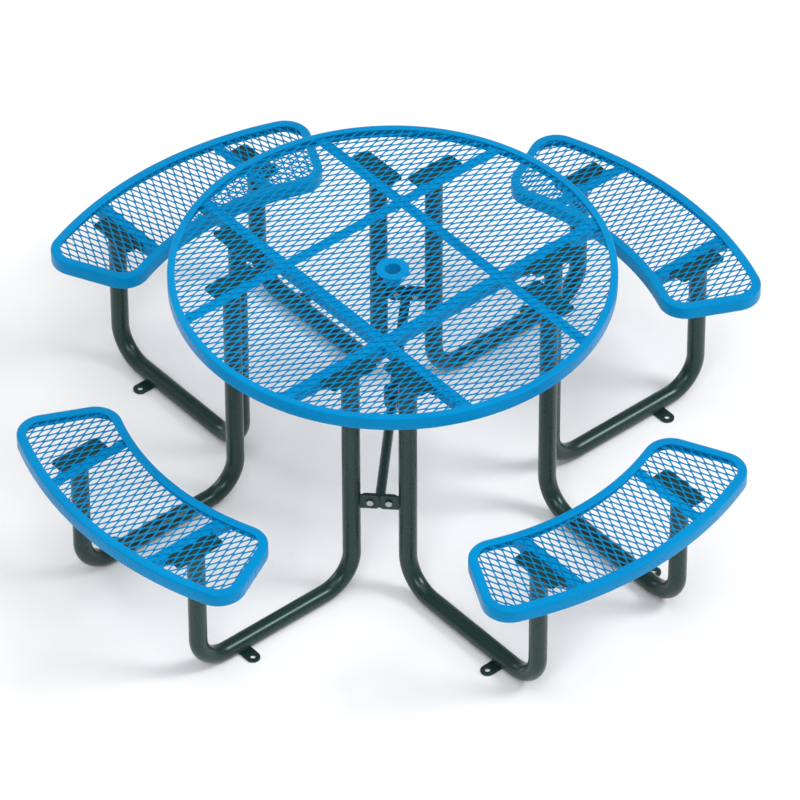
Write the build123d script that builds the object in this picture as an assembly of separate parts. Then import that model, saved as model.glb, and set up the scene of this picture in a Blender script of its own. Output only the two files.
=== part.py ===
from build123d import *
import math
import os

# Round outdoor picnic table with four attached curved seats.
#
# Frame: millimetres, +Z up.  The origin is on the floor, straight under the centre of the table top.
# The four seats lie on the +X (right), +Y (back), -X (left) and -Y (front) sides.
# Each seat stands on two bent tubes that also carry the table top, so eight tubes hold everything.
# Everything of one side is made once for the right side and turned about Z for the other three.

SIDES = {"right": 0, "back": 90, "left": 180, "front": 270}

# ---- main sizes ------------------------------------------------------------------------------
TOP_RADIUS = 584.2
TOP_HEIGHT = 740.0
SEAT_HEIGHT = 436.0

# Rim: an L section, a narrow ledge on top of a deep outer skirt.
RIM_DEPTH = 38.0
TOP_LEDGE = 20.0
SEAT_LEDGE = 25.4
RIM_WALL = 3.0
RIM_ROUND = 4.0

# Seat outline: two arcs that are almost concentric with the top, and two slanted ends.
SEAT_INNER_RADIUS = 729.9
SEAT_INNER_CENTRE = 14.1
SEAT_OUTER_RADIUS = 1031.8
SEAT_OUTER_CENTRE = -12.0
SEAT_HALF_LENGTH = 439.2
SEAT_END_TILT = 26.6
SEAT_CORNER = 73.0

# Expanded metal: short way and long way of one diamond, the strand's width and the sheet's thickness.
# The real diamonds are 23.5 by 46.4 with strands 3.8 wide.  MESH_SCALE draws them larger with the
# same share of open area, so that the sheets keep their weight and stay light to handle.
MESH_SCALE = 1.5
MESH_SHORT = 23.5 * MESH_SCALE
MESH_LONG = 46.4 * MESH_SCALE
MESH_STRAND = 3.8 * MESH_SCALE
MESH_THICK = 3.5
MESH_TOP_TURN = -6.0
MESH_BORDER = 6.0
SMALLEST_OPENING = 60.0

# Braces: angles under the mesh, with the upright flange on the side that faces the legs.
BRACE_WIDTH = 30.0
BRACE_DEPTH = 30.0
BRACE_WALL = 3.0
BRACE_OUTER = 211.1

# Legs: bent round tube.
TUBE_RADIUS = 24.15
TUBE_WALL = 2.8
TUBE_SIDE = 239.6
TUBE_INNER = 343.5
TUBE_OUTER = 858.2
BEND_RADIUS = 95.0

# Brackets: angles on the ends of the tubes, bolted to the braces.
BRACKET_LENGTH = 150.0
BRACKET_WIDTH = 53.0
BRACKET_WALL = 4.0
BRACKET_DEPTH = 30.0
BRACKET_CORNER = 12.0
BRACKET_BOLT_SPACING = 104.0
BRACKET_BOLT_DROP = 17.5

# Umbrella collar in the top and pole ring below it.
POLE_HOLE_RADIUS = 21.0
COLLAR_RADIUS = 24.0
COLLAR_DEPTH = 41.0
COLLAR_FLANGE_RADIUS = 44.0
COLLAR_FLANGE_THICK = 3.0
POLE_RING_RADIUS = 25.0
POLE_RING_HEIGHT = 46.0

# Ties between the two neighbouring tubes at the front-right and back-left corners, joined by a strut.
TIE_HEIGHT = 300.0
TIE_THICK = 5.0
TIE_DEPTH = 45.0
TIE_CORNER = 9.0
TIE_GAP = 2.0
TIE_PLATE_LENGTH = 92.0
TIE_BOLT_SPACING = 49.0
STRUT_RADIUS = 13.35
STRUT_WALL = 2.0

# Anchor tabs: flat on the floor, one on each tube.
TAB_AT = 717.0
TAB_WIDTH = 38.0
TAB_THICK = 4.8
TAB_ROOT = 12.0
TAB_HOLE_OUT = 47.6
TAB_HOLE_RADIUS = 7.2

# Fasteners: shank radius, hexagon across flats, head height and nut height.
BRACKET_BOLT = {"shank": 4.0, "flats": 13.0, "head": 5.3, "nut": 6.5}
TIE_BOLT = {"shank": 5.0, "flats": 17.0, "head": 6.4, "nut": 8.0}
BOLT_PLAY = 0.5
NUT_PLAY = 0.15
THREAD_SHOWING = 3.0

# Clearance left where a round face meets its neighbour; the weld fills it.
FIT_GAP = 0.3

MESH_DROP = RIM_WALL + MESH_THICK


# ---- helpers ---------------------------------------------------------------------------------
def save(name, shape):
    """Write one node."""
    export_step(shape, f"parts/{name}.step", write_pcurves=False)


def turned(shape, degrees):
    """The same shape turned about the vertical axis through the table's centre."""
    return Rot(0, 0, degrees) * shape


def box(x, y, z):
    """A box from its (low, high) span along each axis."""
    size = [high - low for low, high in (x, y, z)]
    middle = [(high + low) / 2 for low, high in (x, y, z)]
    return Pos(*middle) * Box(*size)


def rod(radius, low, high):
    """An upright round bar about the Z axis."""
    return Pos(0, 0, low) * Cylinder(radius, high - low, align=(Align.CENTER, Align.CENTER, Align.MIN))


def group(solids):
    """Separate solids that share one node."""
    return Compound(children=[piece.solid() for piece in solids])


# ---- outlines --------------------------------------------------------------------------------
def top_outline():
    return Sketch() + Circle(TOP_RADIUS)


def seat_outline():
    """The right-hand seat seen from above."""
    ring = Pos(SEAT_OUTER_CENTRE, 0) * Circle(SEAT_OUTER_RADIUS)
    ring -= Pos(SEAT_INNER_CENTRE, 0) * Circle(SEAT_INNER_RADIUS)
    middle = (SEAT_INNER_RADIUS + SEAT_INNER_CENTRE + SEAT_OUTER_RADIUS + SEAT_OUTER_CENTRE) / 2
    near = middle - 300
    far = middle + 300
    slope = math.tan(math.radians(SEAT_END_TILT))
    half_near = SEAT_HALF_LENGTH - 300 * slope
    half_far = SEAT_HALF_LENGTH + 300 * slope
    corners = [(near, -half_near), (far, -half_far), (far, half_far), (near, half_near)]
    wedge = make_face(Polyline(*corners, close=True))
    seat = ring & wedge
    return fillet(seat.vertices(), SEAT_CORNER)


# ---- rims ------------------------------------------------------------------------------------
def rim(outline, height, ledge):
    """L-section rim that follows the outline; the top of its ledge is at the given height."""
    body = extrude(outline, amount=RIM_DEPTH)
    body = fillet(body.edges().group_by(Axis.Z)[-1], RIM_ROUND)
    body -= extrude(offset(outline, amount=-RIM_WALL), amount=RIM_DEPTH - RIM_WALL)
    body -= extrude(offset(outline, amount=-ledge), amount=RIM_DEPTH)
    return Pos(0, 0, height - RIM_DEPTH) * body


# ---- expanded metal --------------------------------------------------------------------------
def diamond(x, y, turn):
    """One opening of the sheet; its long way runs along Y before it is turned."""
    half_short = MESH_SHORT / 2
    half_long = MESH_LONG / 2
    reach = half_short * half_long / math.hypot(half_short, half_long)
    shrink = 1 - MESH_STRAND / 2 / reach
    across = half_short * shrink
    along = half_long * shrink
    corners = Polyline((across, 0), (0, along), (-across, 0), (0, -along), close=True)
    return Pos(x, y) * Rot(0, 0, turn) * make_face(corners)


def diamonds_over(outline, turn):
    """Openings in staggered rows, wide enough to cover the outline."""
    area = outline.bounding_box()
    centre = area.center()
    reach = math.hypot(area.size.X, area.size.Y) / 2
    rows = math.ceil(reach / (MESH_LONG / 2))
    columns = math.ceil(reach / MESH_SHORT)
    cosine = math.cos(math.radians(turn))
    sine = math.sin(math.radians(turn))
    openings = []
    for row in range(-rows, rows + 1):
        shift = MESH_SHORT / 2 if row % 2 else 0
        for column in range(-columns, columns + 1):
            u = column * MESH_SHORT + shift
            v = row * MESH_LONG / 2
            x = u * cosine - v * sine
            y = u * sine + v * cosine
            if abs(x) < area.size.X / 2 and abs(y) < area.size.Y / 2:
                openings.append(diamond(centre.X + x, centre.Y + y, turn))
    return openings


def expanded_sheet(outline, turn, height, ledge, centre_hole=None):
    """A flat diamond mesh that fills the rim from below its ledge."""
    sheet = offset(outline, amount=-RIM_WALL - FIT_GAP)
    open_area = offset(outline, amount=-ledge + MESH_BORDER)
    if centre_hole:
        sheet -= Circle(centre_hole)
        open_area -= Circle(centre_hole + MESH_BORDER)
    cut = Compound(diamonds_over(outline, turn)).intersect(open_area.face())
    holes = [face.outer_wire() for face in cut.faces() if face.area > SMALLEST_OPENING]
    panel = Face(sheet.face().outer_wire(), holes + list(sheet.face().inner_wires()))
    return Pos(0, 0, height - MESH_DROP) * extrude(panel, amount=MESH_THICK, dir=(0, 0, 1))


# ---- braces ----------------------------------------------------------------------------------
def bolt_stations(middle):
    """Where the two bolts of a bracket sit along its brace."""
    return (middle - BRACKET_BOLT_SPACING / 2, middle + BRACKET_BOLT_SPACING / 2)


def brace(low, high, height, stations):
    """An angle that runs along X on the +Y side of the centre line, drilled for the bracket bolts."""
    top = height - MESH_DROP
    bar = box((low, high), (BRACE_OUTER - BRACE_WIDTH, BRACE_OUTER), (top - BRACE_WALL, top))
    bar += box((low, high), (BRACE_OUTER - BRACE_WALL, BRACE_OUTER), (top - BRACE_DEPTH, top))
    drill = BRACKET_BOLT["shank"] + BOLT_PLAY
    for x in stations:
        bar -= Pos(x, BRACE_OUTER, top - BRACKET_BOLT_DROP) * Rot(90, 0, 0) * Cylinder(drill, 20)
    return bar


def top_brace(outline):
    """One of the four chords under the table top."""
    stations = bolt_stations(TUBE_INNER) + bolt_stations(-TUBE_INNER)
    bar = brace(-TOP_RADIUS, TOP_RADIUS, TOP_HEIGHT, stations)
    inside = extrude(offset(outline, amount=-RIM_WALL - FIT_GAP), amount=TOP_HEIGHT)
    return bar & inside


def crossing_cut(upper):
    """What a brace loses where two others cross it, so that the four lap into a grid.

    The braces along X keep their flat flange and are slotted from below.
    The braces along Y give way to it and are slotted from above.
    """
    top = TOP_HEIGHT - MESH_DROP
    middle = top - BRACE_DEPTH / 2
    flat = (BRACE_OUTER - BRACE_WIDTH - FIT_GAP, BRACE_OUTER + FIT_GAP)
    slot = (BRACE_OUTER - BRACE_WALL - FIT_GAP, BRACE_OUTER + FIT_GAP)
    wide = (-TOP_RADIUS, TOP_RADIUS)
    cuts = []
    for side in (1, -1):
        across = tuple(sorted(side * edge for edge in slot))
        if upper:
            over = tuple(sorted(side * edge for edge in flat))
            cuts.append(box(over, wide, (top - BRACE_WALL - FIT_GAP, top + 1)))
            cuts.append(box(across, wide, (middle, top)))
        else:
            cuts.append(box(across, wide, (top - BRACE_DEPTH - 1, middle)))
    return cuts


def seat_brace(outline):
    """One of the two angles that cross a seat."""
    bar = brace(
        SEAT_INNER_RADIUS - 100,
        SEAT_OUTER_RADIUS + 20,
        SEAT_HEIGHT,
        bolt_stations(TUBE_OUTER),
    )
    inside = extrude(offset(outline, amount=-RIM_WALL - FIT_GAP), amount=SEAT_HEIGHT)
    return bar & inside


# ---- legs ------------------------------------------------------------------------------------
def leg_tube(side):
    """Hollow tube: down from the table top, along the floor and up to the seat."""
    top_end = TOP_HEIGHT - MESH_DROP - BRACKET_WALL
    seat_end = SEAT_HEIGHT - MESH_DROP - BRACKET_WALL
    points = [
        (TUBE_INNER, side, top_end),
        (TUBE_INNER, side, TUBE_RADIUS),
        (TUBE_OUTER, side, TUBE_RADIUS),
        (TUBE_OUTER, side, seat_end),
    ]
    path = FilletPolyline(*points, radius=BEND_RADIUS)
    section = Plane(origin=points[0], z_dir=(0, 0, -1)) * (Circle(TUBE_RADIUS) - Circle(TUBE_RADIUS - TUBE_WALL))
    return sweep(section, path=path)


def bracket(middle, height):
    """Angle on the end of a tube: flat flange on the tube, upright flange against the brace."""
    top = height - MESH_DROP
    half = BRACKET_LENGTH / 2
    span = (middle - half, middle + half)
    flat = box(span, (BRACE_OUTER, BRACE_OUTER + BRACKET_WIDTH), (top - BRACKET_WALL, top))
    flat = fillet(flat.edges().filter_by(Axis.Z).group_by(Axis.Y)[-1], BRACKET_CORNER)
    upright = box(span, (BRACE_OUTER, BRACE_OUTER + BRACKET_WALL), (top - BRACKET_DEPTH, top))
    upright = fillet(upright.edges().filter_by(Axis.Y).group_by(Axis.Z)[0], BRACKET_CORNER)
    angle = flat + upright
    drill = BRACKET_BOLT["shank"] + BOLT_PLAY
    for x in bolt_stations(middle):
        angle -= Pos(x, BRACE_OUTER, top - BRACKET_BOLT_DROP) * Rot(90, 0, 0) * Cylinder(drill, 20)
    return angle


def anchor_tab():
    """Flat lug on the floor beside the tube, with a rounded end and one anchor hole."""
    y_hole = TUBE_SIDE + TAB_HOLE_OUT
    root = TUBE_SIDE + TAB_ROOT
    plan = Pos(TAB_AT, (root + y_hole) / 2) * Rectangle(TAB_WIDTH, y_hole - root)
    plan += Pos(TAB_AT, y_hole) * Circle(TAB_WIDTH / 2)
    plan -= Pos(TAB_AT, y_hole) * Circle(TAB_HOLE_RADIUS)
    tab = extrude(plan, amount=TAB_THICK)
    tube = Pos(TAB_AT, TUBE_SIDE, TUBE_RADIUS) * Rot(0, 90, 0) * Cylinder(TUBE_RADIUS + FIT_GAP, 2 * TAB_WIDTH)
    return tab - tube


# ---- ties ------------------------------------------------------------------------------------
def tie_plane():
    """Upright plane through the two tubes of the front-right corner; its normal points outward."""
    middle = (TUBE_INNER + TUBE_SIDE) / 2
    return Plane(origin=(middle, -middle, TIE_HEIGHT), x_dir=(1, 1, 0), z_dir=(1, -1, 0))


def tie_lugs():
    """The two lugs of a tie, each from its tube to the middle of the gap."""
    tube_offset = (TUBE_INNER - TUBE_SIDE) / math.sqrt(2)
    inner = TIE_GAP / 2
    outer = tube_offset
    lugs = []
    for side in (1, -1):
        plate = Pos(side * (inner + outer) / 2, 0) * Rectangle(outer - inner, TIE_DEPTH)
        free_end = plate.vertices().sort_by(lambda corner: abs(corner.X))[:2]
        plate = fillet(free_end, TIE_CORNER)
        plate -= Pos(side * TIE_BOLT_SPACING / 2, 0) * Circle(TIE_BOLT["shank"] + BOLT_PLAY)
        lug = extrude(plate, amount=TIE_THICK)
        tube = Pos(side * tube_offset, 0, 0) * Rot(90, 0, 0) * Cylinder(TUBE_RADIUS + FIT_GAP, 2 * TIE_DEPTH)
        lugs.append(tie_plane() * (lug - tube))
    return lugs


def tie_plate():
    """End plate of the strut, bolted to the inner face of both lugs."""
    plate = RectangleRounded(TIE_PLATE_LENGTH, TIE_DEPTH, TIE_CORNER)
    for side in (1, -1):
        plate -= Pos(side * TIE_BOLT_SPACING / 2, 0) * Circle(TIE_BOLT["shank"] + BOLT_PLAY)
    return tie_plane() * extrude(plate, amount=-TIE_THICK)


def strut_bar():
    """Round tube from the end plate to the pole ring."""
    far = (TUBE_INNER + TUBE_SIDE) / math.sqrt(2) - TIE_THICK
    bar = rod(STRUT_RADIUS, 0, far) - rod(STRUT_RADIUS - STRUT_WALL, 0, far)
    lying = Plane(origin=(0, 0, TIE_HEIGHT), z_dir=(1, -1, 0)) * bar
    return lying - rod(POLE_RING_RADIUS + FIT_GAP, 0, TOP_HEIGHT)


def pole_ring():
    """Short upright tube in the middle of the strut that steadies an umbrella pole."""
    low = TIE_HEIGHT - POLE_RING_HEIGHT / 2
    high = TIE_HEIGHT + POLE_RING_HEIGHT / 2
    return rod(POLE_RING_RADIUS, low, high) - rod(POLE_HOLE_RADIUS, low, high)


def umbrella_collar():
    """Flanged sleeve in the middle of the table top."""
    flange_bottom = TOP_HEIGHT - COLLAR_FLANGE_THICK
    low = TOP_HEIGHT - COLLAR_DEPTH
    sleeve = rod(COLLAR_FLANGE_RADIUS, flange_bottom, TOP_HEIGHT) + rod(COLLAR_RADIUS, low, TOP_HEIGHT)
    return sleeve - rod(POLE_HOLE_RADIUS, low, TOP_HEIGHT)


# ---- fasteners -------------------------------------------------------------------------------
def bolt(size, grip):
    """Hexagon bolt: the head's seat is at the origin and the shank runs down through the grip."""
    length = grip + size["nut"] + THREAD_SHOWING
    head = extrude(RegularPolygon(size["flats"] / 2, 6, major_radius=False), amount=size["head"])
    return head + rod(size["shank"], -length, 0)


def nut(size, grip):
    """Hexagon nut on the far side of the grip."""
    body = extrude(RegularPolygon(size["flats"] / 2, 6, major_radius=False), amount=-size["nut"])
    body -= rod(size["shank"] + NUT_PLAY, -size["nut"], 0)
    return Pos(0, 0, -grip) * body


def bracket_fasteners(make, middle, height):
    """Both bolts or both nuts of one bracket; the heads are on the bracket's side."""
    grip = BRACE_WALL + BRACKET_WALL
    z = height - MESH_DROP - BRACKET_BOLT_DROP
    seat = BRACE_OUTER + BRACKET_WALL
    return [
        Plane(origin=(x, seat, z), x_dir=(1, 0, 0), z_dir=(0, 1, 0)) * make(BRACKET_BOLT, grip)
        for x in bolt_stations(middle)
    ]


def tie_fasteners(make):
    """Both bolts or both nuts of one tie; the heads are on the outer side."""
    return [
        tie_plane() * Pos(side * TIE_BOLT_SPACING / 2, 0, TIE_THICK) * make(TIE_BOLT, 2 * TIE_THICK)
        for side in (1, -1)
    ]


# ---- build -----------------------------------------------------------------------------------
def both_hands(shape):
    """The piece on the +Y side of a seat's centre line and its mirror image."""
    return {"a": shape, "b": mirror(shape, about=Plane.XZ)}


def build_top():
    outline = top_outline()
    save("top_rim", rim(outline, TOP_HEIGHT, TOP_LEDGE))
    mesh = expanded_sheet(outline, MESH_TOP_TURN, TOP_HEIGHT, TOP_LEDGE, COLLAR_RADIUS + FIT_GAP)
    save("top_mesh", mesh)
    save("umbrella_collar", umbrella_collar())
    chord = top_brace(outline)
    for name, degrees in SIDES.items():
        lapped = turned(chord, degrees)
        along_y = degrees in (90, 270)
        for cut in crossing_cut(upper=along_y):
            lapped -= turned(cut, 90) if along_y else cut
        save(f"top_brace_{name}", lapped)


def build_seats():
    outline = seat_outline()
    seat_rim = rim(outline, SEAT_HEIGHT, SEAT_LEDGE)
    mesh = expanded_sheet(outline, 90, SEAT_HEIGHT, SEAT_LEDGE)
    braces = group(both_hands(seat_brace(outline)).values())
    for name, degrees in SIDES.items():
        save(f"seat_rim_{name}", turned(seat_rim, degrees))
        save(f"seat_mesh_{name}", turned(mesh, degrees))
        save(f"seat_braces_{name}", turned(braces, degrees))


def build_legs():
    tube = leg_tube(TUBE_SIDE)
    top_bracket = bracket(TUBE_INNER, TOP_HEIGHT)
    seat_bracket = bracket(TUBE_OUTER, SEAT_HEIGHT)
    tabs = []
    for name, degrees in SIDES.items():
        for hand, piece in both_hands(tube).items():
            save(f"leg_tube_{name}_{hand}", turned(piece, degrees))
        for hand, piece in both_hands(top_bracket).items():
            save(f"top_bracket_{name}_{hand}", turned(piece, degrees))
        for hand, piece in both_hands(seat_bracket).items():
            save(f"seat_bracket_{name}_{hand}", turned(piece, degrees))
        tabs += [turned(piece, degrees) for piece in both_hands(anchor_tab()).values()]
    save("anchor_tabs", group(tabs))


def build_ties():
    save("umbrella_pole_ring", pole_ring())
    for name, degrees in {"front": 0, "back": 180}.items():
        for hand, lug in zip("ab", tie_lugs()):
            save(f"tie_lug_{name}_{hand}", turned(lug, degrees))
        save(f"tie_plate_{name}", turned(tie_plate(), degrees))
        save(f"strut_bar_{name}", turned(strut_bar(), degrees))
    for name, make in {"bolts": bolt, "nuts": nut}.items():
        pieces = [turned(piece, degrees) for degrees in (0, 180) for piece in tie_fasteners(make)]
        save(f"tie_{name}", group(pieces))


def build_bracket_fasteners():
    places = {"top": (TUBE_INNER, TOP_HEIGHT), "seat": (TUBE_OUTER, SEAT_HEIGHT)}
    for place, (middle, height) in places.items():
        for name, make in {"bolts": bolt, "nuts": nut}.items():
            pieces = []
            for piece in bracket_fasteners(make, middle, height):
                for handed in both_hands(piece).values():
                    pieces += [turned(handed, degrees) for degrees in SIDES.values()]
            save(f"{place}_bracket_{name}", group(pieces))


os.makedirs("parts", exist_ok=True)
build_top()
build_seats()
build_legs()
build_ties()
build_bracket_fasteners()
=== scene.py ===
import math

import bmesh
import bpy
from mathutils import Matrix, Vector


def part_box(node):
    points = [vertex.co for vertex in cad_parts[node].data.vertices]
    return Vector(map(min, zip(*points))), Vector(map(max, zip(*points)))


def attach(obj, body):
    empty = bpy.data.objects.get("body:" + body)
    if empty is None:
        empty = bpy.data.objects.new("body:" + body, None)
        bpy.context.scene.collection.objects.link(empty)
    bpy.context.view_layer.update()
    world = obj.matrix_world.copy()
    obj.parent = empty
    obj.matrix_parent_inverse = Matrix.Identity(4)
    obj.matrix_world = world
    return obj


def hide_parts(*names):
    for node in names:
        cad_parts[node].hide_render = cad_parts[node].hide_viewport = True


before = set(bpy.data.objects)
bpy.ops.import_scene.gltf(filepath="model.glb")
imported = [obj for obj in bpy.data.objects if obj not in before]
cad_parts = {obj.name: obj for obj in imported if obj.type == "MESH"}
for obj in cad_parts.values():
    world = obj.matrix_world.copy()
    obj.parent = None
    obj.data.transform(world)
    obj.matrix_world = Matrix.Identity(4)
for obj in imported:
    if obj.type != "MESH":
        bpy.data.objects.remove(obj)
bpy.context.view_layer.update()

SIDES = {"right": 0, "back": 90, "left": 180, "front": 270}

# ---- sizes, in metres -------------------------------------------------------------------------
TOP_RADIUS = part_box("top_rim")[1].x
TOP_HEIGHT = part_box("top_rim")[1].z
SEAT_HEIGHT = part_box("seat_rim_right")[1].z
RIM_DEPTH = TOP_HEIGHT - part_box("top_rim")[0].z
TOP_LEDGE = 0.020
SEAT_LEDGE = 0.0254
RIM_WALL = 0.003

# Bead of coating along the lower edge of a rim: how far it stands in, and from which heights above the
# edge it starts and is full.
RIM_BEAD = 0.0045
RIM_BEAD_START = 0.012
RIM_BEAD_FULL = 0.005

SEAT_INNER_RADIUS = 0.7299
SEAT_INNER_CENTRE = 0.0141
SEAT_OUTER_RADIUS = 1.0318
SEAT_OUTER_CENTRE = -0.0120
SEAT_HALF_LENGTH = 0.4392
SEAT_END_TILT = math.radians(26.6)
SEAT_CORNER = 0.073

# Lattice of each sheet: one crossing, and the short and long way of one diamond.  Those of the seats
# are in the frame of the right-hand seat, and differ a little from sheet to sheet as cut.  Their signs
# set which way the strands lean.
TOP_LATTICE = ((0.0015, 0.0005), (-0.02352, 0.00261), (-0.00538, -0.04591))
SEAT_LATTICES = {
    "right": ((0.9223, 0.0244), (0.0, 0.02339), (-0.0446, -0.0018)),
    "back": ((0.8814, 0.0044), (-0.0002, 0.02356), (-0.04645, 0.0001)),
    "left": ((0.9063, 0.0143), (-0.0008, -0.02329), (0.04595, -0.0004)),
    "front": ((0.8932, 0.0021), (0.0003, -0.02407), (0.04672, 0.0004)),
}
STRAND_WIDTH = 0.0044
STRAND_THICK = 0.0034
STRAND_TILT = math.radians(22)
BOND_LENGTH = 0.0066

# Corners of a strand where it leaves a block, as side and face; how far along it rings hold its section;
# and the shortest cut strand that is kept, as shares of its whole length.
STRAND_SECTION = ((0, -1), (1, -1), (1, 1), (0, 1))
STRAND_HOLD = 0.2
SHORTEST_STUB = 0.1

SHEET_THICK = 0.0035
SHEET_GAP = 0.0003
SHEET_DROP = 0.0018

COLLAR_BORE = 0.021
COLLAR_SLEEVE = 0.024
COLLAR_FLANGE = 0.044
COLLAR_WALL = 0.003

BRACE_OUTER = 0.2111
BRACE_WIDTH = 0.030
BRACE_DEPTH = 0.030
BRACE_WALL = 0.003

TUBE_RADIUS = 0.02415
TUBE_SIDE = 0.2396
TUBE_INNER = 0.3435
TUBE_OUTER = 0.8582

BRACKET_WALL = 0.004
BRACKET_BOLT_SPACING = 0.104
BRACKET_BOLT_DROP = 0.0175

TIE_HEIGHT = 0.300
TIE_THICK = 0.005
TIE_DEPTH = 0.045
TIE_BOLT_SPACING = 0.049
STRUT_RADIUS = 0.01335
POLE_RING_RADIUS = 0.025

TAB_AT = 0.717
TAB_WIDTH = 0.038
TAB_THICK = 0.0048

# Fasteners: shank radius, width across flats, head height, nut height and thread pitch.
BRACKET_BOLT = {"shank": 0.004, "flats": 0.013, "head": 0.0053, "nut": 0.0065, "pitch": 0.00125}
TIE_BOLT = {"shank": 0.005, "flats": 0.017, "head": 0.0064, "nut": 0.008, "pitch": 0.0015}
THREAD_SHOWING = 0.003

# Half the width of a weld bead, by what it joins.
WELD = {"tube": 0.0024, "tab": 0.0026, "lug": 0.0021, "strut": 0.0022, "ring": 0.0019, "brace": 0.0019}
WELD_GAP = 0.0004


# ---- mesh helpers -----------------------------------------------------------------------------
def make_object(name, verts, faces, material, slot, sharp=35):
    """A riding piece from plain vertices and faces, smooth except where it turns sharply."""
    mesh = bpy.data.meshes.new(name)
    mesh.from_pydata([tuple(v) for v in verts], [], faces)
    bm = bmesh.new()
    bm.from_mesh(mesh)
    bmesh.ops.recalc_face_normals(bm, faces=bm.faces)
    bm.to_mesh(mesh)
    bm.free()
    mesh.shade_smooth()
    mesh.set_sharp_from_angle(angle=math.radians(sharp))
    mesh.materials.append(material)
    obj = bpy.data.objects.new(name, mesh)
    bpy.context.scene.collection.objects.link(obj)
    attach(obj, "root")
    return obj


def rounded_polygon(corners, steps=4):
    """Closed outline from (x, y, radius) corners, each rounded by an arc."""
    points = []
    count = len(corners)
    for i, (x, y, radius) in enumerate(corners):
        here = Vector((x, y))
        before = (Vector(corners[i - 1][:2]) - here).normalized()
        after = (Vector(corners[(i + 1) % count][:2]) - here).normalized()
        half = before.angle(after) / 2
        reach = radius / math.tan(half)
        start = here + before * reach
        end = here + after * reach
        centre = here + (before + after).normalized() * (radius / math.sin(half))
        a = start - centre
        b = end - centre
        sweep = math.atan2(a.x * b.y - a.y * b.x, a.dot(b))
        for k in range(steps + 1):
            turn = Matrix.Rotation(sweep * k / steps, 2)
            points.append(tuple(centre + turn @ a))
    return points


def ring_faces(rings, size, closed):
    """Quads between successive rings of vertices."""
    faces = []
    last = rings if closed else rings - 1
    for i in range(last):
        j = (i + 1) % rings
        for k in range(size):
            m = (k + 1) % size
            faces.append((i * size + k, i * size + m, j * size + m, j * size + k))
    return faces


def sweep_rim(path, profile, height):
    """Closed ring of one section; the path gives points and inward directions in plan."""
    verts = []
    for point, inward in path:
        for depth, z in profile:
            verts.append((point.x + inward.x * depth, point.y + inward.y * depth, height + z))
    return verts, ring_faces(len(path), len(profile), True)


def revolve(profile, segments=96):
    """A ring about the Z axis from an (r, z) outline."""
    verts = []
    for i in range(segments):
        a = 2 * math.pi * i / segments
        verts += [(r * math.cos(a), r * math.sin(a), z) for r, z in profile]
    return verts, ring_faces(segments, len(profile), True)


def turned(verts, degrees):
    """Vertices turned about the Z axis."""
    turn = Matrix.Rotation(math.radians(degrees), 3, "Z")
    return [turn @ Vector(v) for v in verts]


def placed(verts, origin, x_dir, z_dir):
    """Vertices moved from the origin to a frame given by its place and two of its directions."""
    z = Vector(z_dir).normalized()
    x = Vector(x_dir).normalized()
    y = z.cross(x)
    return [Vector(origin) + x * v[0] + y * v[1] + z * v[2] for v in verts]


def mirrored(part):
    """The same shape on the other side of the XZ plane."""
    verts, faces = part
    return [(v[0], -v[1], v[2]) for v in verts], [tuple(reversed(face)) for face in faces]


def on_all_sides(parts):
    """Copies of parts made for the right-hand side, turned to all four sides, as one part."""
    return joined([(turned(verts, d), faces) for d in SIDES.values() for verts, faces in parts])


def joined(parts):
    """One list of vertices and faces from several."""
    verts, faces = [], []
    for part_verts, part_faces in parts:
        start = len(verts)
        verts += list(part_verts)
        faces += [tuple(i + start for i in face) for face in part_faces]
    return verts, faces


# ---- outlines ---------------------------------------------------------------------------------
def arc_path(centre, radius, start, end, count, inward):
    """Points on an arc with their inward direction; inward is -1 towards the centre, +1 away from it."""
    path = []
    for i in range(count):
        a = start + (end - start) * i / (count - 1)
        out = Vector((math.cos(a), math.sin(a)))
        path.append((centre + out * radius, out * inward))
    return path


def top_path(count=288):
    """Outline of the round top, with inward directions."""
    return [
        (Vector((math.cos(a), math.sin(a))) * TOP_RADIUS, Vector((-math.cos(a), -math.sin(a))))
        for a in (2 * math.pi * i / count for i in range(count))
    ]


def seat_path():
    """Outline of the right-hand seat, anticlockwise, with inward directions."""
    outer_centre = Vector((SEAT_OUTER_CENTRE, 0))
    inner_centre = Vector((SEAT_INNER_CENTRE, 0))
    middle = (SEAT_INNER_RADIUS + SEAT_INNER_CENTRE + SEAT_OUTER_RADIUS + SEAT_OUTER_CENTRE) / 2
    along = Vector((math.cos(SEAT_END_TILT), math.sin(SEAT_END_TILT)))
    inward = Vector((math.sin(SEAT_END_TILT), -math.cos(SEAT_END_TILT)))
    line = Vector((middle, SEAT_HALF_LENGTH)) + inward * SEAT_CORNER

    def corner(centre, radius):
        """Where the corner's centre lies: on the inset end line and at this radius."""
        start = line - centre
        b = start.dot(along)
        c = start.dot(start) - radius * radius
        return centre + start + along * (-b + math.sqrt(b * b - c))

    def angle(vector):
        return math.atan2(vector.y, vector.x)

    outer = corner(outer_centre, SEAT_OUTER_RADIUS - SEAT_CORNER)
    inner = corner(inner_centre, SEAT_INNER_RADIUS + SEAT_CORNER)
    outer_end = angle(outer - outer_centre)
    inner_end = angle(inner - inner_centre)
    end_side = angle(-inward)
    upper = arc_path(outer_centre, SEAT_OUTER_RADIUS, 0, outer_end, 40, -1)[1:]
    upper += arc_path(outer, SEAT_CORNER, outer_end, end_side, 14, -1)[1:]
    upper += line_path(upper[-1], inner, -inward)
    upper += arc_path(inner, SEAT_CORNER, end_side, inner_end + math.pi, 14, -1)[1:]
    upper += arc_path(inner_centre, SEAT_INNER_RADIUS, inner_end, 0, 32, 1)[1:]
    lower = [(Vector((p.x, -p.y)), Vector((d.x, -d.y))) for p, d in reversed(upper[:-1])]
    first = (outer_centre + Vector((SEAT_OUTER_RADIUS, 0)), Vector((-1, 0)))
    return [first] + upper + lower


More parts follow.
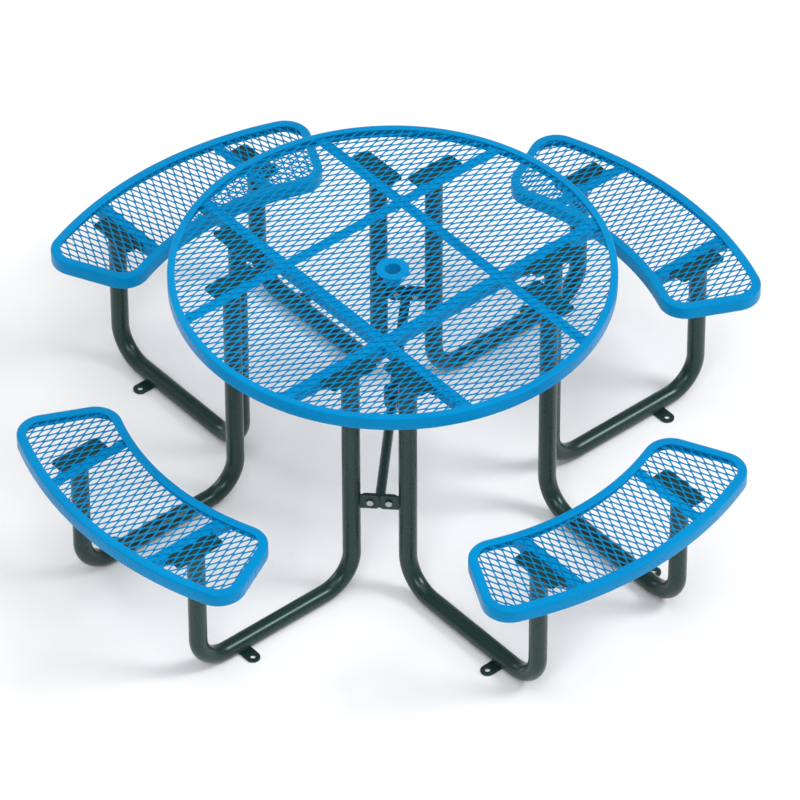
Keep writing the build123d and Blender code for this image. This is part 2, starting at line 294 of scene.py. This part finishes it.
def line_path(start, corner, outward, count=10):
    """Points from the last point of a path to where the next corner begins."""
    end = corner + outward * SEAT_CORNER
    begin, direction = start
    return [(begin.lerp(end, i / count), direction) for i in range(1, count + 1)]


def depth_inside(polygon, x, y):
    """Distance from the outline, positive inside it."""
    nearest = 1e9
    inside = False
    for (ax, ay), (bx, by) in zip(polygon, polygon[1:] + polygon[:1]):
        dx, dy = bx - ax, by - ay
        t = max(0.0, min(1.0, ((x - ax) * dx + (y - ay) * dy) / (dx * dx + dy * dy)))
        nearest = min(nearest, math.hypot(x - ax - t * dx, y - ay - t * dy))
        if (ay > y) != (by > y) and x < (bx - ax) * (y - ay) / (by - ay) + ax:
            inside = not inside
    return nearest if inside else -nearest


# ---- expanded metal ---------------------------------------------------------------------------
class Lattice:
    """Crossings of one sheet's diamond mesh, and the directions of its tilted strands.

    The short and long vectors span one diamond.  Odd rows are shifted by half a diamond.
    """

    def __init__(self, vectors, height):
        self.origin, self.short, self.long = (Vector(v) for v in vectors)
        self.height = height
        up = Vector((0, 0, 1))
        self.along = self.long.to_3d().normalized()
        level = self.along.cross(up)
        self.across = level * math.cos(STRAND_TILT) + up * math.sin(STRAND_TILT)
        self.through = up * math.cos(STRAND_TILT) - level * math.sin(STRAND_TILT)

    def crossing(self, column, row):
        shift = 0.5 if row % 2 else 0.0
        flat = self.origin + self.short * (column + shift) + self.long * (row / 2)
        return Vector((flat.x, flat.y, self.height))

    def crossings_between(self, low, high):
        """Column, row and place of each crossing in a box."""
        middle = (low + high) / 2
        reach = (high - low).length / 2
        columns = math.ceil(reach / self.short.length) + 3
        rows = math.ceil(reach / (self.long.length / 2)) + 3
        steps = Matrix((self.short, self.long / 2)).transposed()
        first_column, first_row = (round(share) for share in steps.inverted() @ (middle - self.origin))
        for row in range(first_row - rows, first_row + rows + 1):
            for column in range(first_column - columns, first_column + columns + 1):
                centre = self.crossing(column, row)
                if low.x < centre.x < high.x and low.y < centre.y < high.y:
                    yield column, row, centre

    def neighbour(self, column, row, end, half):
        """The crossing that the strand from this half of a block's end runs to."""
        odd = row % 2
        return column + (odd if half == 0 else odd - 1), row + end

    def corner(self, centre, end, side, face):
        """Corner of the block at a crossing; end, side and face are -1, 0 or 1."""
        return (
            centre
            + self.along * (end * BOND_LENGTH / 2)
            + self.across * (side * STRAND_WIDTH)
            + self.through * (face * STRAND_THICK / 2)
        )


def add_block(verts, faces, lattice, centre):
    """Adds the block at a crossing, open where strands leave it, and returns its corners' numbers."""
    block = {}
    for end in (-1, 1):
        for side in (-1, 0, 1):
            for face in (-1, 1):
                block[end, side, face] = len(verts)
                verts.append(lattice.corner(centre, end, side, face))
    for half in (-1, 0):
        for face in (-1, 1):
            faces.append(tuple(block[e, half + o, face] for e, o in ((-1, 0), (1, 0), (1, 1), (-1, 1))))
    for side in (-1, 1):
        faces.append(tuple(block[e, side, f] for e, f in ((-1, -1), (1, -1), (1, 1), (-1, 1))))
    return block


def connect(faces, first, second):
    """Quads between two rings of four vertices."""
    for k in range(4):
        m = (k + 1) % 4
        faces.append((first[k], first[m], second[m], second[k]))


def add_rings(verts, faces, first, goal, shares):
    """Extends a strand from its first ring by rings at these shares of the way; returns the last."""
    begin = [verts[v] for v in first]
    ring = first
    for share in shares:
        following = list(range(len(verts), len(verts) + 4))
        verts.extend(a.lerp(b, share) for a, b in zip(begin, goal))
        connect(faces, ring, following)
        ring = following
    return ring


def share_inside(depth_at, begin, goal):
    """Share of the way to the goal at which a strand's corners reach the edge of the area."""
    inside, outside = 0.0, 1.0
    for _ in range(8):
        share = (inside + outside) / 2
        if min(depth_at(*a.lerp(b, share).xy) for a, b in zip(begin, goal)) > 0:
            inside = share
        else:
            outside = share
    return inside


def expanded_metal(depth_at, area, vectors, height):
    """Strands of a diamond mesh as one cage for a subdivision surface.

    Every crossing is a tilted block two strands wide; four strands leave it and run to its neighbours.
    A strand that would leave the area is cut off at its edge.
    """
    lattice = Lattice(vectors, height)
    verts, faces, blocks = [], [], {}
    for column, row, centre in lattice.crossings_between(*area):
        if depth_at(centre.x, centre.y) > STRAND_WIDTH:
            blocks[column, row] = add_block(verts, faces, lattice, centre)

    for (column, row), block in blocks.items():
        for end, half in ((-1, -1), (-1, 0), (1, -1), (1, 0)):
            neighbour = lattice.neighbour(column, row, end, half)
            facing_half = -1 - half
            start = [block[end, half + side, face] for side, face in STRAND_SECTION]
            if neighbour not in blocks:
                away = lattice.crossing(*neighbour)
                goal = [
                    lattice.corner(away, -end, facing_half + side, face) for side, face in STRAND_SECTION
                ]
                share = share_inside(depth_at, [verts[v] for v in start], goal)
                stops = (share * (1 - STRAND_HOLD), share) if share > SHORTEST_STUB else ()
                faces.append(tuple(add_rings(verts, faces, start, goal, stops)))
            elif end > 0:
                other = blocks[neighbour]
                target = [other[-1, facing_half + side, face] for side, face in STRAND_SECTION]
                goal = [verts[v] for v in target]
                ring = add_rings(verts, faces, start, goal, (STRAND_HOLD, 1 - STRAND_HOLD))
                connect(faces, ring, target)
    return verts, faces


# ---- materials --------------------------------------------------------------------------------
def new_material(name):
    material = bpy.data.materials.new(name)
    material.use_nodes = True
    nodes, links = material.node_tree.nodes, material.node_tree.links
    return material, nodes, links, nodes["Principled BSDF"]


def noise_node(nodes, links, scale, detail=3.0, roughness=0.5, stretch=None):
    """Noise in object space, which is the table's own frame in metres."""
    coords = nodes.new("ShaderNodeTexCoord")
    mapping = nodes.new("ShaderNodeMapping")
    if stretch:
        mapping.inputs["Scale"].default_value = stretch
    noise = nodes.new("ShaderNodeTexNoise")
    noise.inputs["Scale"].default_value = scale
    noise.inputs["Detail"].default_value = detail
    noise.inputs["Roughness"].default_value = roughness
    links.new(coords.outputs["Object"], mapping.inputs["Vector"])
    links.new(mapping.outputs["Vector"], noise.inputs["Vector"])
    return noise


def ramp_between(nodes, links, source, low, high, first, second):
    """Colour ramp from the first colour to the second over part of the source's range."""
    ramp = nodes.new("ShaderNodeValToRGB")
    ramp.color_ramp.elements[0].position = low
    ramp.color_ramp.elements[0].color = (*first, 1)
    ramp.color_ramp.elements[1].position = high
    ramp.color_ramp.elements[1].color = (*second, 1)
    links.new(source, ramp.inputs["Fac"])
    return ramp


def vary_roughness(nodes, links, bsdf, source, smooth, rough):
    """Roughness from smooth to rough over the middle of the source's range."""
    node = nodes.new("ShaderNodeMapRange")
    node.inputs["From Min"].default_value = 0.3
    node.inputs["From Max"].default_value = 0.7
    node.inputs["To Min"].default_value = smooth
    node.inputs["To Max"].default_value = rough
    links.new(source, node.inputs["Value"])
    links.new(node.outputs["Result"], bsdf.inputs["Roughness"])


def colour_with_marks(nodes, links, bsdf, colour, marks, mark_colour):
    """Base colour from a ramp, with another colour mixed in by how strong the marks are."""
    mix = nodes.new("ShaderNodeMix")
    mix.data_type = "RGBA"
    first, second = (socket for socket in mix.inputs if socket.type == "RGBA")
    result = next(socket for socket in mix.outputs if socket.type == "RGBA")
    links.new(marks.outputs["Color"], mix.inputs["Factor"])
    links.new(colour.outputs["Color"], first)
    second.default_value = (*mark_colour, 1)
    links.new(result, bsdf.inputs["Base Color"])


def bump_chain(nodes, links, bsdf, layers):
    """Bump from several noises; each layer is (height output, distance in metres, strength)."""
    previous = None
    for height, distance, strength in layers:
        bump = nodes.new("ShaderNodeBump")
        bump.inputs["Distance"].default_value = distance
        bump.inputs["Strength"].default_value = strength
        links.new(height, bump.inputs["Height"])
        if previous:
            links.new(previous.outputs["Normal"], bump.inputs["Normal"])
        previous = bump
    links.new(previous.outputs["Normal"], bsdf.inputs["Normal"])


def plastisol(name, depth):
    """Thick dipped vinyl coating: deep colour, soft gloss, sags and fine orange peel; a depth below 1
    darkens every colour as painted shade.
    """
    material, nodes, links, bsdf = new_material(name)
    tint = noise_node(nodes, links, 2.4, 4)
    # depth scales every colour below; under 1 it is painted shade, not a darker coating
    shade = (0.0002 * depth, 0.198 * depth, 0.462 * depth)
    light = (0.0004 * depth, 0.245 * depth, 0.540 * depth)
    colour = ramp_between(nodes, links, tint.outputs["Fac"], 0.32, 0.70, shade, light)
    speck = noise_node(nodes, links, 160, 5, 0.65)
    dust = ramp_between(nodes, links, speck.outputs["Fac"], 0.60, 0.86, (0, 0, 0), (0.22, 0.22, 0.22))
    pale = (0.003 * depth, 0.275 * depth, 0.57 * depth)
    colour_with_marks(nodes, links, bsdf, colour, dust, pale)
    smear = noise_node(nodes, links, 22, 4, 0.6)
    vary_roughness(nodes, links, bsdf, smear.outputs["Fac"], 0.24, 0.38)
    bsdf.inputs["IOR"].default_value = 1.36
    bsdf.inputs["Specular IOR Level"].default_value = 0.3
    bsdf.inputs["Specular Tint"].default_value = (0.06, 0.70, 1.0, 1)
    sag = (noise_node(nodes, links, 55, 2).outputs["Fac"], 0.0006, 0.35)
    peel = (noise_node(nodes, links, 700, 2).outputs["Fac"], 0.00012, 0.5)
    bump_chain(nodes, links, bsdf, (sag, peel))
    return material


def powder_coat():
    """Dark green-grey baked powder coat with a fine texture."""
    material, nodes, links, bsdf = new_material("powder_coat_grey")
    tint = noise_node(nodes, links, 5, 4)
    shade, light = (0.0070, 0.0235, 0.0205), (0.0105, 0.0305, 0.0268)
    colour = ramp_between(nodes, links, tint.outputs["Fac"], 0.3, 0.72, shade, light)
    scuff = noise_node(nodes, links, 75, 6, 0.7)
    worn = ramp_between(nodes, links, scuff.outputs["Fac"], 0.66, 0.80, (0, 0, 0), (0.24, 0.24, 0.24))
    colour_with_marks(nodes, links, bsdf, colour, worn, (0.018, 0.042, 0.037))
    smear = noise_node(nodes, links, 16, 4, 0.6)
    vary_roughness(nodes, links, bsdf, smear.outputs["Fac"], 0.23, 0.33)
    bsdf.inputs["IOR"].default_value = 1.42
    bsdf.inputs["Specular Tint"].default_value = (0.75, 1.0, 0.94, 1)
    bsdf.inputs["Coat Weight"].default_value = 0.12
    bsdf.inputs["Coat Roughness"].default_value = 0.22
    wave = (noise_node(nodes, links, 90, 2).outputs["Fac"], 0.00015, 0.2)
    grain = (noise_node(nodes, links, 1300, 2).outputs["Fac"], 0.00008, 0.5)
    bump_chain(nodes, links, bsdf, (wave, grain))
    return material


def zinc_plate():
    """Bright zinc-plated steel with faint handling marks."""
    material, nodes, links, bsdf = new_material("zinc_plate")
    tint = noise_node(nodes, links, 260, 4)
    dull, bright = (0.34, 0.355, 0.35), (0.46, 0.475, 0.465)
    colour = ramp_between(nodes, links, tint.outputs["Fac"], 0.3, 0.7, dull, bright)
    links.new(colour.outputs["Color"], bsdf.inputs["Base Color"])
    vary_roughness(nodes, links, bsdf, tint.outputs["Fac"], 0.22, 0.42)
    bsdf.inputs["Metallic"].default_value = 1.0
    scratch = (noise_node(nodes, links, 900, 3, stretch=(1, 1, 0.25)).outputs["Fac"], 0.00006, 0.5)
    bump_chain(nodes, links, bsdf, (scratch,))
    return material


def studio_floor():
    """Matt pale paint, a little uneven."""
    material, nodes, links, bsdf = new_material("studio_floor")
    tint = noise_node(nodes, links, 0.8, 2)
    shade, light = (0.93, 0.93, 0.93), (0.95, 0.95, 0.95)
    colour = ramp_between(nodes, links, tint.outputs["Fac"], 0.2, 0.8, shade, light)
    links.new(colour.outputs["Color"], bsdf.inputs["Base Color"])
    bsdf.inputs["Roughness"].default_value = 0.85
    bsdf.inputs["Specular IOR Level"].default_value = 0.2
    return material


BLUE = plastisol("plastisol_blue", 1.0)
# The mesh strands carry the rims' coating, painted 10 per cent darker as shade for the strands'
# self-shadowing.
BLUE_MESH_PAINTED_SHADE = plastisol("plastisol_blue_mesh_painted_shade", 0.90)
GREY = powder_coat()
ZINC = zinc_plate()


# ---- blue pieces ------------------------------------------------------------------------------
def rim_profile(ledge):
    """L section of a rim: how far in from the outline, and how far up from the ledge's top.

    The coating gathers in a bead along the lower edge.
    """
    return rounded_polygon(
        [
            (0, -RIM_DEPTH, 0.0013),
            (0, 0, 0.0042),
            (ledge, 0, 0.0014),
            (ledge, -RIM_WALL, 0.0012),
            (RIM_WALL, -RIM_WALL, 0.0025),
            (RIM_WALL, RIM_BEAD_START - RIM_DEPTH, 0.004),
            (RIM_WALL + RIM_BEAD, RIM_BEAD_FULL - RIM_DEPTH, 0.003),
            (RIM_WALL + RIM_BEAD, -RIM_DEPTH, 0.0018),
        ]
    )


def build_rims():
    verts, faces = sweep_rim(top_path(), rim_profile(TOP_LEDGE), TOP_HEIGHT)
    rim = make_object("rim_of_top", verts, faces, BLUE, "coated_blue")
    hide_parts("top_rim")
    verts, faces = sweep_rim(seat_path(), rim_profile(SEAT_LEDGE), SEAT_HEIGHT)
    for side, degrees in SIDES.items():
        rim = make_object(f"rim_of_seat_{side}", turned(verts, degrees), faces, BLUE, "coated_blue")
        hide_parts(f"seat_rim_{side}")


def build_sheet(name, cage, degrees, replaced):
    """A sheet of expanded metal; its strands are rounded by a subdivision surface."""
    verts, faces = cage
    sheet = make_object(name, turned(verts, degrees), faces, BLUE_MESH_PAINTED_SHADE, "coated_blue", sharp=180)
    sheet.modifiers.new("rounded", "SUBSURF").levels = 1
    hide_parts(replaced)


def build_sheets():
    inset = RIM_WALL + SHEET_GAP
    drop = RIM_WALL + SHEET_DROP

    def depth_in_top(x, y):
        r = math.hypot(x, y)
        return min(TOP_RADIUS - inset - r, r - COLLAR_SLEEVE - SHEET_GAP)

    corner = Vector((TOP_RADIUS, TOP_RADIUS))
    cage = expanded_metal(depth_in_top, (-corner, corner), TOP_LATTICE, TOP_HEIGHT - drop)
    build_sheet("mesh_of_top", cage, 0, "top_mesh")

    polygon = [tuple(p + d * inset) for p, d in seat_path()]
    xs = [x for x, _ in polygon]
    ys = [y for _, y in polygon]
    area = (Vector((min(xs), min(ys))), Vector((max(xs), max(ys))))

    def depth_in_seat(x, y):
        return depth_inside(polygon, x, y)

    for side, degrees in SIDES.items():
        cage = expanded_metal(depth_in_seat, area, SEAT_LATTICES[side], SEAT_HEIGHT - drop)
        build_sheet(f"mesh_of_seat_{side}", cage, degrees, f"seat_mesh_{side}")


def build_collar():
    low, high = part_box("umbrella_collar")
    profile = rounded_polygon(
        [
            (COLLAR_BORE, low.z, 0.0012),
            (COLLAR_BORE, high.z, 0.0016),
            (COLLAR_FLANGE, high.z, 0.0014),
            (COLLAR_FLANGE, high.z - COLLAR_WALL, 0.0012),
            (COLLAR_SLEEVE, high.z - COLLAR_WALL, 0.0020),
            (COLLAR_SLEEVE, low.z, 0.0012),
        ]
    )
    collar = make_object("collar_of_umbrella", *revolve(profile), BLUE, "coated_blue")
    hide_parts("umbrella_collar")


# ---- welds ------------------------------------------------------------------------------------
def weld_bead(points, axis, radius, closed=False, pitch=0.0024, sides=8):
    """A bead of overlapping ripples along a line; its section is square to the line."""
    path = resampled(points, pitch / 4, closed)
    count = len(path)
    verts = []
    for i, point in enumerate(path):
        after = path[(i + 1) % count] if closed or i < count - 1 else point
        before = path[i - 1] if closed or i > 0 else point
        tangent = (after - before).normalized()
        side = tangent.cross(Vector(axis)).normalized()
        other = side.cross(tangent)
        ripple = (i % 4) / 3
        size = radius * (1.04 - 0.20 * ripple + 0.06 * math.sin(i * 0.37) + 0.04 * math.sin(i * 0.11))
        if not closed:
            from_end = min(i, count - 1 - i) / 4
            size *= math.sqrt(min(1.0, 0.15 + from_end))
        for k in range(sides):
            a = 2 * math.pi * k / sides
            verts.append(point + (side * math.cos(a) + other * math.sin(a)) * size)
    faces = ring_faces(count, sides, closed)
    if not closed:
        faces.append(tuple(range(sides)))
        faces.append(tuple(range((count - 1) * sides, count * sides)))
    return verts, faces


def resampled(points, step, closed):
    """The same line with points at an even spacing of about one step."""
    points = [Vector(p) for p in points]
    if closed:
        points.append(points[0])
    lengths = [(b - a).length for a, b in zip(points, points[1:])]
    total = sum(lengths)
    count = 4 * max(2, round(total / step / 4))
    result = []
    for i in range(count if closed else count + 1):
        distance = total * i / count
        k = 0
        while k < len(lengths) - 1 and distance > lengths[k]:
            distance -= lengths[k]
            k += 1
        result.append(points[k].lerp(points[k + 1], distance / lengths[k]))
    return result


def ring_points(centre, radius, x_dir, y_dir, count=48):
    angles = [2 * math.pi * i / count for i in range(count)]
    centre, x_dir, y_dir = Vector(centre), Vector(x_dir), Vector(y_dir)
    return [centre + (x_dir * math.cos(a) + y_dir * math.sin(a)) * radius for a in angles]


def tube_end_welds(middle, height):
    """Beads round both tube ends of a side, under their brackets."""
    gap = 0.0006
    z = height - RIM_WALL - SHEET_THICK - BRACKET_WALL - gap
    ring = ring_points((middle, TUBE_SIDE, z), TUBE_RADIUS + gap, (1, 0, 0), (0, 1, 0), 96)
    bead = weld_bead(ring, (0, 0, 1), WELD["tube"], closed=True)
    return [bead, mirrored(bead)]


def tab_welds():
    """A bead along the top of each anchor tab where it meets its tube."""
    rise = TUBE_RADIUS - TAB_THICK
    gap = 0.0008
    reach = TUBE_SIDE + math.sqrt(TUBE_RADIUS * TUBE_RADIUS - rise * rise) + gap
    half = TAB_WIDTH / 2
    line = [(TAB_AT - half, reach, TAB_THICK), (TAB_AT + half, reach, TAB_THICK)]
    bead = weld_bead(line, (0, 0, 1), WELD["tab"])
    return [bead, mirrored(bead)]


def tie_welds():
    """Beads of the front-right tie: lugs to tubes, strut to plate and strut to pole ring."""
    root = math.sqrt(0.5)
    along, outward, up = Vector((root, root, 0)), Vector((root, -root, 0)), Vector((0, 0, 1))
    middle = (TUBE_INNER + TUBE_SIDE) / 2
    centre = Vector((middle, -middle, TIE_HEIGHT))
    reach = (TUBE_INNER - TUBE_SIDE) * root
    beads = []
    for side in (1, -1):
        for face in (0.0, TIE_THICK):
            touch = reach - math.sqrt(TUBE_RADIUS * TUBE_RADIUS - face * face)
            foot = centre + along * (side * (touch - WELD_GAP)) + outward * face
            half = up * (TIE_DEPTH / 2 - 0.001)
            beads.append(weld_bead([foot - half, foot + half], outward, WELD["lug"]))
    radius = STRUT_RADIUS + WELD_GAP
    plate = centre - outward * (TIE_THICK + WELD_GAP)
    ring = ring_points(plate, radius, along, up)
    beads.append(weld_bead(ring, outward, WELD["strut"], closed=True))
    saddle = []
    for point in ring_points((0, 0, 0), radius, (1, 0, 0), (0, 1, 0)):
        distance = math.sqrt((POLE_RING_RADIUS + 0.0006) ** 2 - point.x * point.x)
        saddle.append(outward * distance + along * point.x + up * (TIE_HEIGHT + point.y))
    beads.append(weld_bead(saddle, outward, WELD["ring"], closed=True))
    return beads


def brace_end_welds(edge, height):
    """Beads in the angle of a brace where it ends at the rim; edge(y) gives the rim's x."""
    top = height - RIM_WALL - SHEET_THICK
    inner = BRACE_OUTER - BRACE_WALL
    low = top - BRACE_DEPTH + 0.002
    under = top - BRACE_WALL
    across = [inner - (BRACE_WIDTH - BRACE_WALL) * k / 4 for k in range(5)]
    inside = [(edge(inner), inner, low)] + [(edge(y), y, under) for y in across]
    outside = [(edge(BRACE_OUTER), BRACE_OUTER, low), (edge(BRACE_OUTER), BRACE_OUTER, top - 0.001)]
    slanting = (0.3, 0.5, 0.8)
    return [weld_bead(line, slanting, WELD["brace"]) for line in (inside, outside)]


def build_welds():
    brackets = {"top": (TUBE_INNER, TOP_HEIGHT), "seat": (TUBE_OUTER, SEAT_HEIGHT)}
    for place, (middle, height) in brackets.items():
        part = on_all_sides(tube_end_welds(middle, height))
        make_object(f"welds_of_{place}_brackets", *part, GREY, "frame_grey", sharp=60)
    make_object("welds_of_anchor_tabs", *on_all_sides(tab_welds()), GREY, "frame_grey", sharp=60)
    ties = tie_welds()
    both = joined([(turned(verts, d), faces) for d in (0, 180) for verts, faces in ties])
    make_object("welds_of_ties", *both, GREY, "frame_grey", sharp=60)

    def top_edge(y):
        return math.sqrt((TOP_RADIUS - RIM_WALL) ** 2 - y * y)

    def seat_inner_edge(y):
        return SEAT_INNER_CENTRE + math.sqrt((SEAT_INNER_RADIUS + RIM_WALL) ** 2 - y * y)

    def seat_outer_edge(y):
        return SEAT_OUTER_CENTRE + math.sqrt((SEAT_OUTER_RADIUS - RIM_WALL) ** 2 - y * y)

    ends = brace_end_welds(top_edge, TOP_HEIGHT)
    ends += brace_end_welds(lambda y: -top_edge(y), TOP_HEIGHT)
    make_object("welds_of_top_braces", *on_all_sides(ends), BLUE, "coated_blue", sharp=60)
    ends = brace_end_welds(seat_inner_edge, SEAT_HEIGHT) + brace_end_welds(seat_outer_edge, SEAT_HEIGHT)
    ends += [mirrored(part) for part in ends]
    make_object("welds_of_seat_braces", *on_all_sides(ends), BLUE, "coated_blue", sharp=60)


# ---- fasteners --------------------------------------------------------------------------------
def hexagon(angle, flats):
    """Distance from the axis to the side of a hexagon in this direction."""
    return flats / 2 / math.cos((angle + math.pi / 6) % (math.pi / 3) - math.pi / 6)


def chamfered(angle, flats, face, inward):
    """Point on the cone that takes the corners off a hexagon's end face."""
    radius = hexagon(angle, flats)
    drop = max(0.0, radius - flats * 0.485) * math.tan(math.radians(32))
    return radius, face - inward * drop


def lathe(rings, segments=36, caps=True):
    """A shell from rings; each ring gives (radius, height) for an angle about the Z axis."""
    verts = []
    for ring in rings:
        for i in range(segments):
            a = 2 * math.pi * i / segments
            radius, z = ring(a)
            verts.append((radius * math.cos(a), radius * math.sin(a), z))
    faces = ring_faces(len(rings), segments, not caps)
    if caps:
        faces.append(tuple(range(segments)))
        faces.append(tuple(range((len(rings) - 1) * segments, len(rings) * segments)))
    return verts, faces


def flat_ring(radius, z):
    return lambda angle: (radius, z)


def bolt(size, grip):
    """Hexagon bolt with chamfered head and a helical thread where it leaves the nut."""
    flats, head, shank, pitch = (size[key] for key in ("flats", "head", "shank", "pitch"))
    rings = [
        flat_ring(flats * 0.05, head - 0.0003),
        flat_ring(flats * 0.26, head - 0.0003),
        flat_ring(flats * 0.31, head),
        flat_ring(flats * 0.475, head),
        lambda a: chamfered(a, flats, head, 1),
        lambda a: (hexagon(a, flats), 0.0006),
        lambda a: (hexagon(a, flats) * 0.985, 0.0004),
        flat_ring(flats * 0.475, 0.0004),
        flat_ring(flats * 0.470, 0.0),
        flat_ring(shank, 0.0),
    ]
    thread_start = -grip - size["nut"] + 0.001
    thread_end = -grip - size["nut"] - THREAD_SHOWING
    steps = round((thread_start - thread_end) / pitch * 5)

    def thread_ring(k):
        z = thread_start + (thread_end - thread_start) * k / steps
        fade = min(1.0, (steps - k) / 4)

        def ring(angle):
            turn = (z / pitch - angle / (2 * math.pi)) % 1.0
            depth = pitch * 0.55 * (1 - abs(2 * turn - 1))
            return (shank - depth * min(1.0, k / 3)) * (0.86 + 0.14 * fade), z

        return ring

    rings += [thread_ring(k) for k in range(steps + 1)]
    return lathe(rings)


def nut(size, grip):
    """Hexagon nut, chamfered on both faces."""
    flats, height, shank = size["flats"], size["nut"], size["shank"]
    near, far = -grip, -grip - height
    rings = [
        flat_ring(shank, near - 0.0006),
        flat_ring(shank + 0.0006, near),
        flat_ring(flats * 0.475, near),
        lambda a: chamfered(a, flats, near, 1),
        lambda a: chamfered(a, flats, far, -1),
        flat_ring(flats * 0.475, far),
        flat_ring(shank + 0.0006, far),
        flat_ring(shank, far + 0.0006),
    ]
    return lathe(rings, caps=False)


def bracket_fasteners(make, middle, height):
    """Both bolts or nuts of the right-hand side's two brackets."""
    z = height - RIM_WALL - SHEET_THICK - BRACKET_BOLT_DROP
    verts, faces = make(BRACKET_BOLT, BRACE_WALL + BRACKET_WALL)
    parts = []
    for hand in (1, -1):
        for side, turn in ((1, 0.3), (-1, -0.2)):
            origin = (middle + side * BRACKET_BOLT_SPACING / 2, hand * (BRACE_OUTER + BRACKET_WALL), z)
            x_dir = (math.cos(turn), 0, math.sin(turn))
            parts.append((placed(verts, origin, x_dir, (0, hand, 0)), faces))
    return parts


def tie_fasteners(make):
    """Both bolts or nuts of the front-right tie."""
    verts, faces = make(TIE_BOLT, 2 * TIE_THICK)
    root = math.sqrt(0.5)
    middle = (TUBE_INNER + TUBE_SIDE) / 2
    along, outward = Vector((root, root, 0)), Vector((root, -root, 0))
    parts = []
    for side, turn in ((1, 0.1), (-1, 0.45)):
        origin = Vector((middle, -middle, TIE_HEIGHT)) + along * (side * TIE_BOLT_SPACING / 2)
        x_dir = along * math.cos(turn) + Vector((0, 0, math.sin(turn)))
        parts.append((placed(verts, origin + outward * TIE_THICK, x_dir, outward), faces))
    return parts


def build_fasteners():
    places = {"top": (TUBE_INNER, TOP_HEIGHT), "seat": (TUBE_OUTER, SEAT_HEIGHT)}
    for kind, make in {"bolts": bolt, "nuts": nut}.items():
        for place, (middle, height) in places.items():
            part = on_all_sides(bracket_fasteners(make, middle, height))
            piece = make_object(f"{kind}_of_{place}_brackets", *part, ZINC, "zinc")
            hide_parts(f"{place}_bracket_{kind}")
        ties = tie_fasteners(make)
        both = joined([(turned(verts, d), faces) for d in (0, 180) for verts, faces in ties])
        piece = make_object(f"{kind}_of_ties", *both, ZINC, "zinc")
        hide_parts(f"tie_{kind}")


# ---- carried-over CAD nodes -------------------------------------------------------------------
def finish_cad_node(obj, material, edge):
    """A CAD node keeps its shape and gets a real material and slightly rounded edges."""
    obj.data.materials.clear()
    obj.data.materials.append(material)
    if edge:
        bevel = obj.modifiers.new("edge", "BEVEL")
        bevel.width = edge
        bevel.segments = 2
        bevel.limit_method = "ANGLE"
        bevel.angle_limit = math.radians(40)
        bevel.harden_normals = False


def finish_cad_nodes():
    """Materials and edge widths of the CAD nodes that nothing stands in for."""
    plates = ("top_bracket", "seat_bracket", "tie_", "anchor", "strut", "umbrella_pole")
    for name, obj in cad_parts.items():
        if obj.hide_render:
            continue
        if name.startswith(("top_brace", "seat_braces")):
            finish_cad_node(obj, BLUE, 0.0008)
        elif name.startswith(plates):
            finish_cad_node(obj, GREY, 0.0007)
        else:
            finish_cad_node(obj, GREY, 0)


# ---- stage ------------------------------------------------------------------------------------
def add_floor():
    mesh = bpy.data.meshes.new("studio_floor")
    mesh.from_pydata([(-30, -30, 0), (30, -30, 0), (30, 30, 0), (-30, 30, 0)], [], [(0, 1, 2, 3)])
    mesh.materials.append(studio_floor())
    floor = bpy.data.objects.new("studio_floor", mesh)
    floor.location.z = -0.0005
    bpy.context.scene.collection.objects.link(floor)


def add_area_light(name, location, target, size, power):
    """A round soft box that faces its target."""
    data = bpy.data.lights.new(name, "AREA")
    data.shape = "DISK"
    data.size = size
    data.energy = power
    light = bpy.data.objects.new(name, data)
    light.location = location
    direction = Vector(target) - Vector(location)
    light.rotation_euler = direction.to_track_quat("-Z", "Y").to_euler()
    bpy.context.scene.collection.objects.link(light)


def add_world(strength):
    world = bpy.data.worlds.new("studio")
    world.use_nodes = True
    background = world.node_tree.nodes["Background"]
    background.inputs["Color"].default_value = (1, 1, 1, 1)
    background.inputs["Strength"].default_value = strength
    bpy.context.scene.world = world


def add_camera():
    """Long lens from the front right and above, aimed a little below the middle of the table."""
    azimuth, elevation, roll = (math.radians(degrees) for degrees in (50.02, 41.45, -0.23))
    distance, lens = 19.229, 330.39
    middle = Vector((0, 0, 0.4))
    back = Vector(
        (
            math.sin(azimuth) * math.cos(elevation),
            -math.cos(azimuth) * math.cos(elevation),
            math.sin(elevation),
        )
    )
    right = Vector((math.cos(azimuth), math.sin(azimuth), 0))
    up = back.cross(right)
    right, up = right * math.cos(roll) + up * math.sin(roll), up * math.cos(roll) - right * math.sin(roll)
    aim_right, aim_down = 0.0182, 0.0864
    location = middle + back * distance
    target = middle + right * aim_right - up * aim_down
    forward = (target - location).normalized()
    right = forward.cross(up).normalized()
    up = right.cross(forward)
    data = bpy.data.cameras.new("camera")
    data.sensor_width = 36
    data.lens = lens
    data.clip_end = 200
    camera = bpy.data.objects.new("camera", data)
    camera.matrix_world = Matrix(
        (
            (right.x, up.x, -forward.x, location.x),
            (right.y, up.y, -forward.y, location.y),
            (right.z, up.z, -forward.z, location.z),
            (0, 0, 0, 1),
        )
    )
    bpy.context.scene.collection.objects.link(camera)
    bpy.context.scene.camera = camera


bpy.context.scene.view_settings.view_transform = "Standard"
build_rims()
build_sheets()
build_collar()
build_welds()
build_fasteners()
finish_cad_nodes()
add_floor()
add_world(0.50)
add_area_light("overhead", (0.6, -0.6, 4.2), (0, 0, 0.4), 3.2, 52)
add_area_light("back_key", (6.0, 5.8, 8.7), (0, 0, 0.2), 4.2, 700)
add_area_light("front_fill", (3.2, -3.8, 4.6), (0, 0, 0.3), 2.5, 100)
add_area_light("left_fill", (-5.0, -1.5, 2.4), (0, 0, 0.3), 2.5, 48)
add_camera()
